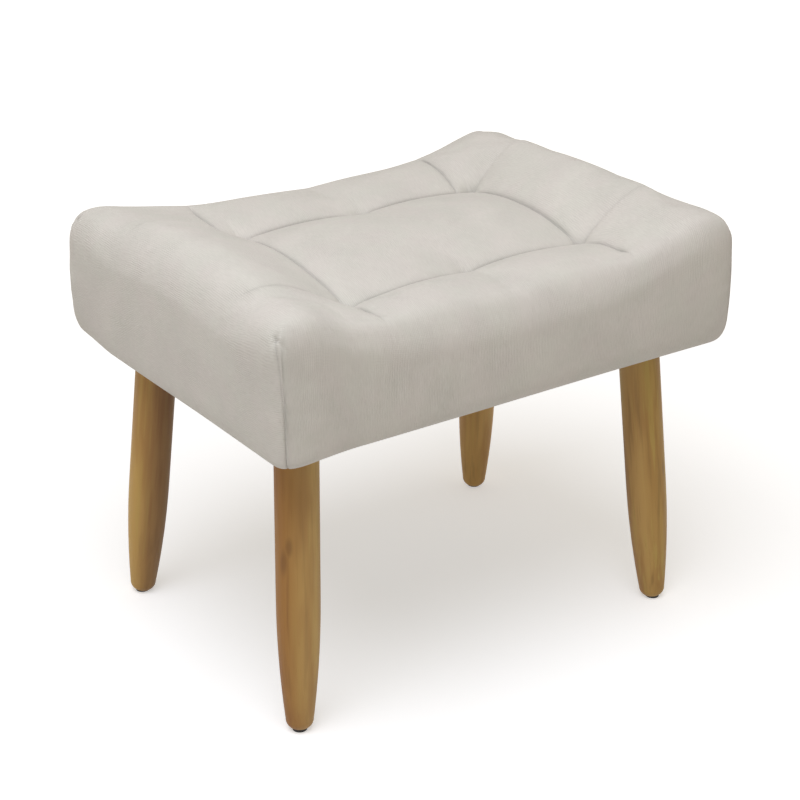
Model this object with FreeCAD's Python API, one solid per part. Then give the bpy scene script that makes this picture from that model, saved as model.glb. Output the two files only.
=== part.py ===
"""A rectangular upholstered pouf on four splayed, turned wooden legs.

The seat is a softwood frame with a plywood deck, shaped foam, a fibre wrap and a sewn fabric cover.
The cover is drawn down to the deck at six tufts, which makes a grid of channels and padded panels.
Frame: +Z up, +X along the long side, the front faces -Y, the origin is on the floor under the middle.
"""

import FreeCAD
import Part
import math
import os

Vector = FreeCAD.Vector

# Seat, outside of the cover
seat_length = 554.0
seat_depth = 428.0
underside_height = 315.0
seat_corner_radius = 10.0
seat_bottom_radius = 9.0

# Heights of the top surface, above the seat's underside
tuft_height = 97.0
channel_height = 103.5
channel_end_height = 139.0
strip_crest_height = 117.5
strip_seam_height = 111.0
strip_end_height = 139.5
middle_crest_height = 121.5
middle_seam_height = 116.0
middle_end_height = 144.5
shoulder_height = 107.0
shoulder_end_height = 132.5

# How the heights rise to the ends: a higher power keeps the middle level for longer
shoulder_rise_power = 2.3
strip_rise_power = 1.2

# Places of the channels and tufts, from the seat's ends and sides
tuft_end_margin = 126.5
tuft_side_margin = 110.0
tuft_grid_shift = 12.5
strip_crest_margin = 62.0
end_roll_length = 36.0
end_roll_drop = 36.0
shoulder_radius = 26.0
shoulder_start_angle = 15.0
shoulder_overrun = 1.5

# Soft layers
cover_thickness = 1.5
wrap_thickness = 6.0
side_foam_thickness = 8.6
soft_clearance = 0.3
cover_return_width = 22.0

# Wooden frame
rail_thickness = 20.0
rail_height = 45.0
deck_thickness = 9.0
corner_block_size = 78.0
corner_block_chamfer = 40.0
deck_hole_radius = 4.0
wood_edge_round = 2.0

# Legs, placed from the seat's ends and sides
foot_end_inset = 42.0
foot_side_inset = 46.0
leg_top_end_inset = 62.0
leg_top_side_inset = 76.0
leg_radius = 22.0
leg_shoulder_radius = 14.2
leg_tip_radius = 9.6
leg_tip_length = 9.0
leg_taper_length = 140.0
leg_top_chamfer = 1.5

# Glides under the legs
glide_radius = 7.5
glide_thickness = 3.0
glide_nail_radius = 1.2
glide_nail_length = 14.0

# Leg plates and their bolts
plate_size = 54.0
plate_thickness = 2.5
plate_corner_radius = 6.0
plate_screw_pitch = 36.0
boss_radius = 13.0
boss_height = 4.5
bolt_radius = 4.0
bolt_length_in_leg = 34.0
bolt_length_above_leg = 30.0
bolt_chamfer = 0.8
bolt_end_gap = 2.0
thread_clearance = 0.05

# Dust cover and staples
dust_cover_thickness = 0.5
dust_cover_inset = 5.0
dust_staple_inset = 8.5
return_staple_inset = 12.5
staple_crown = 10.0
staple_wire = 0.5
staple_leg = 7.0
staple_pitch = 52.0

# Screws
screw_shank_radius = 1.9
screw_head_radius = 3.8
screw_head_height = 2.2
plate_screw_length = 26.0
frame_screw_length = 45.0
deck_screw_length = 32.0
screw_clearance = 0.1
screw_row_offset = 11.0
deck_screw_pitch = 115.0

# Tuft ties and washers
twine_radius = 1.1
twine_channel_radius = 2.0
twine_knot_radius = 3.2
washer_radius = 11.0
washer_thickness = 2.5
washer_hole_clearance = 0.3

# How far the cutting shapes run past what they trim
trim_margin = 4.0

half_length = seat_length / 2
half_depth = seat_depth / 2
tuft_columns = [tuft_grid_shift + step * (half_length - tuft_end_margin) for step in (-1, 0, 1)]
tuft_row_offset = half_depth - tuft_side_margin
tuft_rows = [-tuft_row_offset, tuft_row_offset]
foot_x, foot_y = half_length - foot_end_inset, half_depth - foot_side_inset
leg_top_x, leg_top_y = half_length - leg_top_end_inset, half_depth - leg_top_side_inset

wrap_inset = cover_thickness + soft_clearance
foam_inset = wrap_inset + wrap_thickness + soft_clearance
frame_inset = foam_inset + side_foam_thickness + soft_clearance
frame_half_length = half_length - frame_inset
frame_half_depth = half_depth - frame_inset
inner_half_length = frame_half_length - rail_thickness
inner_half_depth = frame_half_depth - rail_thickness

rail_bottom = underside_height + cover_thickness
rail_top = rail_bottom + rail_height
deck_top = rail_top + deck_thickness
foam_bottom = deck_top + soft_clearance
dust_cover_bottom = underside_height - dust_cover_thickness
plate_bottom = dust_cover_bottom - plate_thickness
corners = {"front_left": (-1, -1), "front_right": (1, -1), "back_left": (-1, 1), "back_right": (1, 1)}

os.makedirs("parts", exist_ok=True)


def export(name, shape):
    """Writes one node, as one solid or as a group of separate solids."""
    solids = shape.Solids
    kept = solids[0] if len(solids) == 1 else Part.makeCompound(solids)
    kept.exportStep(f"parts/{name}.step")
    print(name, len(solids), round(sum(solid.Volume for solid in solids)), kept.isValid())


def box_between(low, high):
    """A box from its lowest corner to its highest corner."""
    size = [top - bottom for bottom, top in zip(low, high)]
    return Part.makeBox(*size, Vector(*low))


def cylinder_along(start, direction, radius, length):
    return Part.makeCylinder(radius, length, Vector(*start), Vector(*direction))


def joined(shapes):
    """One shape from several, fused where they touch."""
    first, *others = shapes
    return first.fuse(others).removeSplitter() if others else first


# The seat's outer form

def end_share(x):
    """0 at the outer tuft column and in the middle panel, 1 at the crest of the end roll."""
    crest = half_length - end_roll_length
    if x < tuft_columns[0]:
        share = (tuft_columns[0] - x) / (tuft_columns[0] + crest)
    elif x > tuft_columns[-1]:
        share = (x - tuft_columns[-1]) / (crest - tuft_columns[-1])
    else:
        share = 0.0
    return min(share, 1.0)


def end_drop(x):
    """How far the end roll has turned down at x, on a quarter circle that runs on past the end face."""
    past_crest = (abs(x) - (half_length - end_roll_length)) / end_roll_length
    if past_crest <= 0:
        return 0.0
    if past_crest <= 1:
        return end_roll_drop * (1 - math.sqrt(1 - past_crest ** 2))
    return end_roll_drop * (1 + past_crest - 1)


def swell(x, spans):
    """0 on the seams at both ends of a span and 1 halfway between them."""
    for start, end in spans:
        if start <= x <= end:
            return max(math.sin(math.pi * (x - start) / (end - start)), 0.0)
    return 0.0


def section_heights(x):
    """Heights above the floor at x: shoulder, strip crest, channel and middle crest."""
    share = end_share(x)
    steep_rise = math.sin(math.pi / 2 * share)
    eased = share ** strip_rise_power
    soft_rise = eased * eased * (3 - 2 * eased)
    saddle_rise = min(abs(x) / (half_length - end_roll_length), 1.0) ** shoulder_rise_power
    between_tufts = swell(x, list(zip(tuft_columns, tuft_columns[1:])))
    between_seams = swell(x, [(tuft_columns[0], tuft_columns[-1])])
    drop = end_drop(x)
    shoulder = shoulder_height + (shoulder_end_height - shoulder_height) * saddle_rise
    strip = strip_seam_height + (strip_end_height - strip_seam_height) * soft_rise
    strip += (strip_crest_height - strip_seam_height) * between_tufts
    channel = tuft_height + (channel_end_height - tuft_height) * steep_rise
    channel += (channel_height - tuft_height) * between_tufts
    middle = middle_seam_height + (middle_end_height - middle_seam_height) * (steep_rise + soft_rise) / 2
    middle += (middle_crest_height - middle_seam_height) * between_seams ** 0.5
    return [underside_height + height - drop for height in (shoulder, strip, channel, middle)]


def section_wire(x):
    """The seat's cross section at x: three padded arcs with channels between, and rounded shoulders."""
    shoulder, strip, channel, middle = section_heights(x)
    radius = shoulder_radius + shoulder_overrun
    centre_y, centre_z = half_depth - shoulder_radius, shoulder - radius
    crest_y = half_depth - strip_crest_margin
    floor = underside_height - trim_margin
    start_angle = math.radians(shoulder_start_angle)
    half_angle = (math.pi / 2 + start_angle) / 2

    def side_edges(side):
        rim = Vector(x, side * (centre_y + radius), centre_z)
        halfway = Vector(x, side * (centre_y + radius * math.sin(half_angle)),
                         centre_z + radius * math.cos(half_angle))
        start = Vector(x, side * (centre_y + radius * math.sin(start_angle)),
                       centre_z + radius * math.cos(start_angle))
        seam = Vector(x, side * tuft_row_offset, channel)
        return rim, [Part.Arc(rim, halfway, start).toShape(),
                     Part.Arc(start, Vector(x, side * crest_y, strip), seam).toShape()]

    front_rim, front_edges = side_edges(-1)
    back_rim, back_edges = side_edges(1)
    front_foot, back_foot = Vector(x, front_rim.y, floor), Vector(x, back_rim.y, floor)
    middle_arc = Part.Arc(Vector(x, -tuft_row_offset, channel), Vector(x, 0, middle),
                          Vector(x, tuft_row_offset, channel)).toShape()
    return Part.Wire([*front_edges, middle_arc, *reversed(back_edges),
                      Part.LineSegment(back_rim, back_foot).toShape(),
                      Part.LineSegment(back_foot, front_foot).toShape(),
                      Part.LineSegment(front_foot, front_rim).toShape()])


def padded_top():
    """Everything under the padded top surface, in three lofts that meet at the two cross seams."""
    crest = half_length - end_roll_length
    roll = [crest + end_roll_length * math.sin(math.radians(angle)) for angle in (0, 35, 60, 78)]
    end = half_length + trim_margin
    left_seam, right_seam = tuft_columns[0], tuft_columns[-1]
    panel_steps = (0.25, 0.5, 0.75)
    left = [-end] + [-x for x in reversed(roll)]
    left += [-crest + step * (left_seam + crest) for step in panel_steps] + [left_seam]
    right = [right_seam] + [right_seam + step * (crest - right_seam) for step in panel_steps]
    right += roll + [end]
    middle = [left_seam]
    for start, finish in zip(tuft_columns, tuft_columns[1:]):
        middle += [start + step * (finish - start) for step in (0.125, 0.25, 0.5, 0.75, 0.875, 1.0)]
    lofts = []
    for stations in (left, middle, right):
        lofts.append(Part.makeLoft([section_wire(x) for x in stations], True, False))
    return lofts[0].fuse(lofts[1:])


def seat_block(inset):
    """The seat's upright sides and rounded lower edges, drawn in all round by inset."""
    low = (inset - half_length, inset - half_depth, underside_height + inset)
    top = underside_height + middle_end_height + trim_margin
    high = (half_length - inset, half_depth - inset, top)
    block = box_between(low, high)
    upright = [edge for edge in block.Edges if abs(edge.tangentAt(edge.FirstParameter).z) > 0.5]
    block = block.makeFillet(seat_corner_radius - inset * 0.5, upright)
    lower = [edge for edge in block.Edges if edge.BoundBox.ZMax < low[2] + 0.01]
    return block.makeFillet(seat_bottom_radius - inset * 0.5, lower)


def seat_form(inset, top):
    """The seat's whole form, smaller by inset on every side."""
    lowered = top.copy()
    lowered.translate(Vector(0, 0, -inset))
    return seat_block(inset).common(lowered)


def slab(low, high):
    """Everything in the seat between two heights."""
    reach_x, reach_y = half_length + trim_margin, half_depth + trim_margin
    return box_between((-reach_x, -reach_y, low), (reach_x, reach_y, high))


# Fasteners

def screw(head, direction, length, grow=0.0):
    """A countersunk wood screw with its head's top at the point head. grow makes it a hole's cutter."""
    shank = cylinder_along(head, direction, screw_shank_radius + grow, length + grow)
    along = Vector(*direction)
    cone = Part.makeCone(screw_head_radius + grow, screw_shank_radius + grow, screw_head_height,
                         Vector(*head), along)
    return shank.fuse(cone).removeSplitter()


def screws_and_cutters(places, length):
    """Screws for a list of (head, direction), and the cutters for their holes."""
    made = [screw(head, direction, length) for head, direction in places]
    cutters = [screw(head, direction, length, screw_clearance) for head, direction in places]
    return Part.makeCompound(made), Part.makeCompound(cutters)


def spread(reach, pitch):
    """Evenly spaced places from -reach to reach, about a pitch apart."""
    count = max(2, round(2 * reach / pitch) + 1)
    return [-reach + 2 * reach * step / (count - 1) for step in range(count)]


def staple(x, y, along_x, crown_bottom):
    """A staple driven upwards: its crown below, its two legs above."""
    half_crown, half_wire = staple_crown / 2, staple_wire / 2
    crown_top = crown_bottom + staple_wire
    pieces = []
    for start, finish, top in ((-half_crown, half_crown, crown_top),
                               (-half_crown, -half_crown + staple_wire, crown_top + staple_leg),
                               (half_crown - staple_wire, half_crown, crown_top + staple_leg)):
        low, high = (start, -half_wire), (finish, half_wire)
        if not along_x:
            low, high = low[::-1], high[::-1]
        pieces.append(box_between((x + low[0], y + low[1], crown_bottom), (x + high[0], y + high[1], top)))
    return joined(pieces)


def staple_ring(inset, crown_bottom, stagger):
    """Staples all round the frame's underside, inset from the rails' outer faces."""
    line_x, line_y = frame_half_length - inset, frame_half_depth - inset
    reach_x, reach_y = line_x - staple_pitch / 2 - stagger, line_y - staple_pitch / 2 - stagger
    ring = []
    for side in (-1, 1):
        ring += [staple(x, side * line_y, True, crown_bottom) for x in spread(reach_x, staple_pitch)]
        ring += [staple(side * line_x, y, False, crown_bottom) for y in spread(reach_y, staple_pitch)]
    return Part.makeCompound(ring)


# Legs

def leg_axis(sign_x, sign_y):
    """Where a leg's centreline meets the floor, and its direction upwards."""
    foot = Vector(sign_x * foot_x, sign_y * foot_y, 0)
    top = Vector(sign_x * leg_top_x, sign_y * leg_top_y, underside_height)
    return foot, (top - foot).normalize()


def distance_to_height(foot, direction, height):
    return (height - foot.z) / direction.z


def leg_solid(foot, direction, start, finish):
    """A turned leg along its centreline: a round tip, a long curved taper and a straight upper part."""
    taper_rise = leg_taper_length - leg_tip_length
    taper_run = leg_radius - leg_shoulder_radius
    taper_arc = (taper_rise ** 2 + taper_run ** 2) / (2 * taper_run)
    half_rise = taper_rise / 2
    middle_radius = leg_radius - taper_arc + math.sqrt(taper_arc ** 2 - half_rise ** 2)
    length = finish - start
    tip_bulge = (leg_shoulder_radius - leg_tip_radius) * 0.72
    points = {
        "centre": Vector(0, 0, 0),
        "tip": Vector(leg_tip_radius, 0, 0),
        "tip_middle": Vector(leg_tip_radius + tip_bulge, 0, leg_tip_length * 0.42),
        "shoulder": Vector(leg_shoulder_radius, 0, leg_tip_length),
        "taper_middle": Vector(middle_radius, 0, leg_taper_length - half_rise),
        "taper_top": Vector(leg_radius, 0, leg_taper_length),
        "edge": Vector(leg_radius, 0, length - leg_top_chamfer),
        "rim": Vector(leg_radius - leg_top_chamfer, 0, length),
        "top": Vector(0, 0, length),
    }
    outline = [
        Part.LineSegment(points["centre"], points["tip"]),
        Part.Arc(points["tip"], points["tip_middle"], points["shoulder"]),
        Part.Arc(points["shoulder"], points["taper_middle"], points["taper_top"]),
        Part.LineSegment(points["taper_top"], points["edge"]),
        Part.LineSegment(points["edge"], points["rim"]),
        Part.LineSegment(points["rim"], points["top"]),
        Part.LineSegment(points["top"], points["centre"]),
    ]
    face = Part.Face(Part.Wire([piece.toShape() for piece in outline]))
    turned = face.revolve(Vector(0, 0, 0), Vector(0, 0, 1), 360)
    turned = Part.Solid(turned) if turned.ShapeType == "Shell" else turned
    turned.Placement = FreeCAD.Placement(foot + direction * start,
                                         FreeCAD.Rotation(Vector(0, 0, 1), direction))
    return turned


def glide_solid(foot, direction, leg_start, grow=0.0):
    """A nail-on glide: its pad is cut flat by the floor and its nail stands in the leg."""
    pad = cylinder_along(foot - direction * glide_thickness, direction, glide_radius,
                         leg_start + glide_thickness)
    nail = cylinder_along(foot + direction * leg_start, direction, glide_nail_radius + grow,
                          glide_nail_length + grow)
    reach = glide_radius + glide_thickness
    above_floor = box_between((foot.x - reach, foot.y - reach, 0), (foot.x + reach, foot.y + reach, reach))
    return nail if grow else joined([pad.common(above_floor), nail])


def bolt_solid(foot, direction, leg_finish, grow=0.0):
    """A headless bolt: its lower half sits in the leg, its upper half in the plate's boss and the block."""
    start = leg_finish - bolt_length_in_leg - grow
    length = bolt_length_in_leg + bolt_length_above_leg + 2 * grow
    bolt = cylinder_along(foot + direction * start, direction, bolt_radius + grow, length)
    if grow:
        return bolt
    rims = [edge for edge in bolt.Edges if edge.Curve.TypeId == "Part::GeomCircle"]
    return bolt.makeChamfer(bolt_chamfer, rims)


def leg_plate(sign_x, sign_y, foot, direction, leg_finish, hole_cutters):
    """A steel plate under the block, with a boss square to the leg and a hole for the leg's bolt."""
    centre_x, centre_y = sign_x * leg_top_x, sign_y * leg_top_y
    half = plate_size / 2
    plate = box_between((centre_x - half, centre_y - half, plate_bottom),
                        (centre_x + half, centre_y + half, dust_cover_bottom))
    upright = [edge for edge in plate.Edges if abs(edge.tangentAt(edge.FirstParameter).z) > 0.5]
    plate = plate.makeFillet(plate_corner_radius, upright)
    boss = cylinder_along(foot + direction * leg_finish, direction, boss_radius, boss_height + plate_size)
    under_plate = box_between((centre_x - half, centre_y - half, 0),
                              (centre_x + half, centre_y + half, plate_bottom))
    return joined([plate, boss.common(under_plate)]).cut(hole_cutters)


def plate_screw_places(sign_x, sign_y):
    """Heads flush with the plate's underside, pointing up into the corner block."""
    offset = plate_screw_pitch / 2
    return [((sign_x * leg_top_x + dx, sign_y * leg_top_y + dy, plate_bottom), (0, 0, 1))
            for dx in (-offset, offset) for dy in (-offset, offset)]


def corner_block(sign_x, sign_y):
    """A block in the frame's corner, with its inner corner cut off."""
    near_x, near_y = sign_x * inner_half_length, sign_y * inner_half_depth
    far_x = near_x - sign_x * corner_block_size
    far_y = near_y - sign_y * corner_block_size
    corner_points = [(near_x, near_y), (far_x, near_y), (far_x, far_y + sign_y * corner_block_chamfer),
                     (far_x + sign_x * corner_block_chamfer, far_y), (near_x, far_y), (near_x, near_y)]
    outline = Part.makePolygon([Vector(x, y, underside_height) for x, y in corner_points])
    return Part.Face(outline).extrude(Vector(0, 0, rail_top - underside_height))


def rounded_rail(low, high):
    """A rail with its four long edges eased."""
    rail = box_between(low, high)
    longest = max(edge.Length for edge in rail.Edges)
    long_edges = [edge for edge in rail.Edges if abs(edge.Length - longest) < 0.01]
    return rail.makeFillet(wood_edge_round, long_edges)


# Soft layers from the outside in
top_form = padded_top()
outer_form = seat_form(0.0, top_form)
cover_inside = seat_form(cover_thickness, top_form)
wrap_outside = seat_form(wrap_inset, top_form)
wrap_inside = seat_form(wrap_inset + wrap_thickness, top_form)
foam_form = seat_form(foam_inset, top_form)

return_edge = frame_inset + cover_return_width - seat_bottom_radius / 2
return_opening = box_between(
    (return_edge - half_length, return_edge - half_depth, underside_height - trim_margin),
    (half_length - return_edge, half_depth - return_edge, rail_bottom + trim_margin))
return_staples = staple_ring(return_staple_inset, underside_height, 0.0)
dust_staples = staple_ring(dust_staple_inset, dust_cover_bottom - staple_wire, staple_pitch / 4)
export("seat_cover", outer_form.cut(cover_inside).cut([return_opening, return_staples, dust_staples]))

twine_places = [(x, y) for y in tuft_rows for x in tuft_columns]
tuft_channels = Part.makeCompound([
    cylinder_along((x, y, rail_bottom), (0, 0, 1), twine_channel_radius, seat_length)
    for x, y in twine_places])
inside_bottom = rail_bottom + soft_clearance
soft_top = underside_height + middle_end_height
frame_reach_x, frame_reach_y = frame_half_length + soft_clearance, frame_half_depth + soft_clearance
frame_block = box_between((-frame_reach_x, -frame_reach_y, 0), (frame_reach_x, frame_reach_y, foam_bottom))
wrap = wrap_outside.cut(wrap_inside).common(slab(inside_bottom, soft_top))
export("fibre_wrap", wrap.cut([frame_block, tuft_channels]))
export("seat_foam", foam_form.common(slab(foam_bottom, soft_top)).cut(tuft_channels))

side_ring = foam_form.common(slab(inside_bottom, deck_top)).cut(frame_block)
for name, low, high in (
        ("front_side_foam", (-half_length, -half_depth), (half_length, -frame_reach_y)),
        ("back_side_foam", (-half_length, frame_reach_y), (half_length, half_depth)),
        ("left_side_foam", (-half_length, -frame_half_depth), (-frame_half_length, frame_half_depth)),
        ("right_side_foam", (frame_half_length, -frame_half_depth), (half_length, frame_half_depth))):
    export(name, side_ring.common(box_between((*low, underside_height), (*high, deck_top))))

# Screws in the frame
low_row, high_row = rail_bottom + screw_row_offset, rail_top - screw_row_offset
rail_line_x, rail_line_y = frame_half_length - rail_thickness / 2, frame_half_depth - rail_thickness / 2
joint_places = [((side_x * rail_line_x, side_y * frame_half_depth, z), (0, -side_y, 0))
                for side_x, side_y in corners.values() for z in (low_row, high_row)]
cross_rail_centres = [(a + b) / 2 for a, b in zip(tuft_columns, tuft_columns[1:])]
cross_places = [((x, side * frame_half_depth, z), (0, -side, 0))
                for x in cross_rail_centres for side in (-1, 1) for z in (low_row, high_row)]
block_places = []
for sign_x, sign_y in corners.values():
    along_x = sign_x * (inner_half_length - corner_block_size / 2)
    along_y = sign_y * (inner_half_depth - corner_block_size / 2)
    block_places.append(((along_x, sign_y * frame_half_depth, high_row), (0, -sign_y, 0)))
    block_places.append(((sign_x * frame_half_length, along_y, high_row), (-sign_x, 0, 0)))
deck_places = [((x, side * rail_line_y, deck_top), (0, 0, -1))
               for side in (-1, 1) for x in spread(rail_line_x - rail_thickness, deck_screw_pitch)]
deck_places += [((side * rail_line_x, y, deck_top), (0, 0, -1))
                for side in (-1, 1) for y in spread(rail_line_y - 2 * rail_thickness, deck_screw_pitch)]
joint_screws, joint_holes = screws_and_cutters(joint_places, frame_screw_length)
cross_screws, cross_holes = screws_and_cutters(cross_places, frame_screw_length)
block_screws, block_holes = screws_and_cutters(block_places, frame_screw_length)
deck_screws, deck_holes = screws_and_cutters(deck_places, deck_screw_length)
export("rail_joint_screws", joint_screws)
export("cross_rail_screws", cross_screws)
export("corner_block_screws", block_screws)
export("deck_screws", deck_screws)

# Rails
rail_cutters = [joint_holes, cross_holes, block_holes, deck_holes, return_staples, dust_staples]
for name, side in (("front_rail", -1), ("back_rail", 1)):
    near, far = sorted((side * inner_half_depth, side * frame_half_depth))
    rail = rounded_rail((-frame_half_length, near, rail_bottom), (frame_half_length, far, rail_top))
    export(name, rail.cut(rail_cutters))
for name, side in (("left_rail", -1), ("right_rail", 1)):
    near, far = sorted((side * inner_half_length, side * frame_half_length))
    rail = rounded_rail((near, -inner_half_depth, rail_bottom), (far, inner_half_depth, rail_top))
    export(name, rail.cut(rail_cutters))
for name, centre in zip(("left_cross_rail", "right_cross_rail"), cross_rail_centres):
    rail = rounded_rail((centre - rail_thickness / 2, -inner_half_depth, rail_bottom),
                        (centre + rail_thickness / 2, inner_half_depth, rail_top))
    export(name, rail.cut(rail_cutters))

# Deck, tuft ties and washers
deck = box_between((-frame_half_length, -frame_half_depth, rail_top),
                   (frame_half_length, frame_half_depth, deck_top))
tie_holes = [cylinder_along((x, y, rail_top), (0, 0, 1), deck_hole_radius, deck_thickness)
             for x, y in twine_places]
export("plywood_deck", deck.cut(tie_holes + [deck_holes]))
washer_bottom = rail_top - washer_thickness
washers = []
for number, (x, y) in enumerate(twine_places, 1):
    hole_radius = twine_radius + washer_hole_clearance
    disc = cylinder_along((x, y, washer_bottom), (0, 0, 1), washer_radius, washer_thickness)
    washers.append(disc.cut(cylinder_along((x, y, washer_bottom), (0, 0, 1), hole_radius, washer_thickness)))
    twine_top = underside_height + tuft_height - wrap_inset
    knot_height = washer_bottom - twine_knot_radius
    twine = cylinder_along((x, y, knot_height), (0, 0, 1), twine_radius, twine_top - knot_height)
    knot = Part.makeSphere(twine_knot_radius, Vector(x, y, knot_height))
    export(f"tuft_tie_{number}", joined([twine, knot]))
export("tuft_washers", Part.makeCompound(washers))

# Legs, plates, bolts and glides
plate_places = [place for signs in corners.values() for place in plate_screw_places(*signs)]
plate_screws, plate_holes = screws_and_cutters(plate_places, plate_screw_length)
export("leg_plate_screws", plate_screws)
bolt_holes = []
for name, signs in corners.items():
    foot, direction = leg_axis(*signs)
    leg_start = distance_to_height(foot, direction, glide_thickness)
    leg_finish = distance_to_height(foot, direction, plate_bottom - boss_height)
    bolt_hole = bolt_solid(foot, direction, leg_finish, thread_clearance)
    upper_hole = cylinder_along(foot + direction * leg_finish, direction, bolt_radius + thread_clearance,
                                bolt_length_above_leg + bolt_end_gap)
    bolt_holes.append(upper_hole)
    nail_hole = glide_solid(foot, direction, leg_start, thread_clearance)
    leg = leg_solid(foot, direction, leg_start, leg_finish)
    export(f"{name}_leg", leg.cut([bolt_hole, nail_hole]))
    export(f"{name}_leg_bolt", bolt_solid(foot, direction, leg_finish))
    export(f"{name}_glide", glide_solid(foot, direction, leg_start))
    plate = leg_plate(*signs, foot, direction, leg_finish, [plate_holes, upper_hole])
    export(f"{name}_leg_plate", plate)
    export(f"{name}_corner_block", corner_block(*signs).cut([plate_holes, upper_hole, block_holes]))

# Dust cover and staples under the seat
dust_half_length, dust_half_depth = frame_half_length - dust_cover_inset, frame_half_depth - dust_cover_inset
dust_cover = box_between((-dust_half_length, -dust_half_depth, dust_cover_bottom),
                         (dust_half_length, dust_half_depth, underside_height))
export("dust_cover", dust_cover.cut([plate_holes, return_staples, dust_staples] + bolt_holes))
export("cover_staples", return_staples)
export("dust_cover_staples", dust_staples)
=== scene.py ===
# A tufted pouf: a padded seat with a sewn fabric cover on four turned wooden legs.
# Everything is in metres, +Z up, the long side along X and the front towards -Y.
import math

import bmesh
import bpy
import numpy as np
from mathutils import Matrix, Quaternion, Vector


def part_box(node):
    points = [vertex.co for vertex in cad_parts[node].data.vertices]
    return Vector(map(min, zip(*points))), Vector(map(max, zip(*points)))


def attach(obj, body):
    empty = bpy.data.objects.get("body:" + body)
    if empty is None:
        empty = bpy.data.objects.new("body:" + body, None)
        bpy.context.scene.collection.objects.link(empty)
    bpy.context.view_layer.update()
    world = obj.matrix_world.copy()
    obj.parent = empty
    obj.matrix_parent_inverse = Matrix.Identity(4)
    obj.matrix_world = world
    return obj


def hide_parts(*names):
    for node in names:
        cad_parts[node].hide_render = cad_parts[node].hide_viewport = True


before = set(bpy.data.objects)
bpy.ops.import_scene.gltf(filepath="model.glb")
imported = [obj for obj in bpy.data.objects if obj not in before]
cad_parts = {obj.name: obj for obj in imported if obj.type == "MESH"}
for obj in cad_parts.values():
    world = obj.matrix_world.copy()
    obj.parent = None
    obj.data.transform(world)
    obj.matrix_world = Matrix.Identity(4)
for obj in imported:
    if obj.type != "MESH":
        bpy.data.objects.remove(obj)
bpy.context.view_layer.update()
scene = bpy.context.scene
scene.view_settings.view_transform = "Standard"
print("frame loaded:", len(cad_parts), "nodes")


# Camera, lamps and floor

cameraView = {
    "aim": (0.0052, 0.0047, 0.2353),
    "azimuth": -35.042,  # degrees, looking from the front left
    "elevation": 24.125,
    "roll": 0.448,
    "distance": 2.0055,
    "lens": 83.13,  # mm, on a sensor 36 mm wide
    "sensor": 36.0,
}
studio = {
    "roomLight": 0.35,  # strength of the even light from all round
    "roomColour": (1.09, 0.965, 0.78),
    "keyPlace": (-0.83, -0.55, 2.6),
    "keySize": 2.2,
    "keyPower": 44.5,
    "keyColour": (0.955, 1.012, 1.13),
    "floorSize": 16.0,
    "floorColour": (0.82, 0.82, 0.82),
    "floorLift": (0.46, 0.98),  # near the object and far off, seen by the camera only, so it reads white
    "floorLiftSpan": (0.5, 2.6),
}


def addObject(name, data):
    made = bpy.data.objects.new(name, data)
    scene.collection.objects.link(made)
    return made


def addCamera():
    data = bpy.data.cameras.new("camera")
    data.sensor_fit = "HORIZONTAL"
    data.sensor_width = cameraView["sensor"]
    data.lens = cameraView["lens"]
    camera = addObject("camera", data)
    around, above = math.radians(cameraView["azimuth"]), math.radians(cameraView["elevation"])
    back = Vector((math.sin(around) * math.cos(above), -math.cos(around) * math.cos(above), math.sin(above)))
    camera.location = Vector(cameraView["aim"]) + back * cameraView["distance"]
    camera.rotation_mode = "QUATERNION"
    lean = Quaternion((0, 0, 1), math.radians(cameraView["roll"]))
    camera.rotation_quaternion = back.to_track_quat("Z", "Y") @ lean
    scene.camera = camera


# Small helpers for node trees

def feed(tree, socket, value):
    if isinstance(value, bpy.types.NodeSocket):
        tree.links.new(value, socket)
    elif value is not None:
        socket.default_value = value


def feedNamed(tree, node, **values):
    for name, value in values.items():
        feed(tree, node.inputs[name.replace("_", " ")], value)
    return node


def addNode(tree, kind, *inputs, **settings):
    # inputs go to the node's sockets in order: a socket is linked, a value is set, None is left
    node = tree.nodes.new(kind)
    for name, value in settings.items():
        setattr(node, name, value)
    for socket, value in zip(node.inputs, inputs):
        feed(tree, socket, value)
    return node


def sums(tree, operation, *inputs, clamp=False):
    return addNode(tree, "ShaderNodeMath", *inputs, operation=operation, use_clamp=clamp).outputs[0]


def vectorSums(tree, operation, *inputs):
    node = addNode(tree, "ShaderNodeVectorMath", *inputs, operation=operation)
    return node.outputs["Value" if operation in ("DOT_PRODUCT", "LENGTH") else "Vector"]


def scaled(tree, vector, factors):
    return vectorSums(tree, "MULTIPLY", vector, factors)


def noise(tree, vector, scale, detail=3.0, roughness=0.5, distortion=0.0):
    node = feedNamed(tree, addNode(tree, "ShaderNodeTexNoise"), Vector=vector, Scale=scale, Detail=detail,
                     Roughness=roughness, Distortion=distortion)
    return node.outputs["Fac"]


def stretch(tree, value, fromLow, fromHigh, toLow=0.0, toHigh=1.0, smooth=False):
    node = addNode(tree, "ShaderNodeMapRange", value, fromLow, fromHigh, toLow, toHigh,
                   interpolation_type="SMOOTHSTEP" if smooth else "LINEAR")
    return node.outputs["Result"]


def blendColours(tree, factor, first, second, way="MIX"):
    # the colour sockets come after those for numbers and vectors
    colours = [(*colour, 1.0) if isinstance(colour, tuple) else colour for colour in (first, second)]
    node = addNode(tree, "ShaderNodeMix", factor, *[None] * 5, *colours, data_type="RGBA", blend_type=way)
    return node.outputs[2]


def newMaterial(name, **fixed):
    # a Principled material; fixed holds the values that are the same all over
    material = bpy.data.materials.new(name)
    material.use_nodes = True
    tree = material.node_tree
    feedNamed(tree, tree.nodes["Principled BSDF"], **fixed)
    return material, tree


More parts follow.
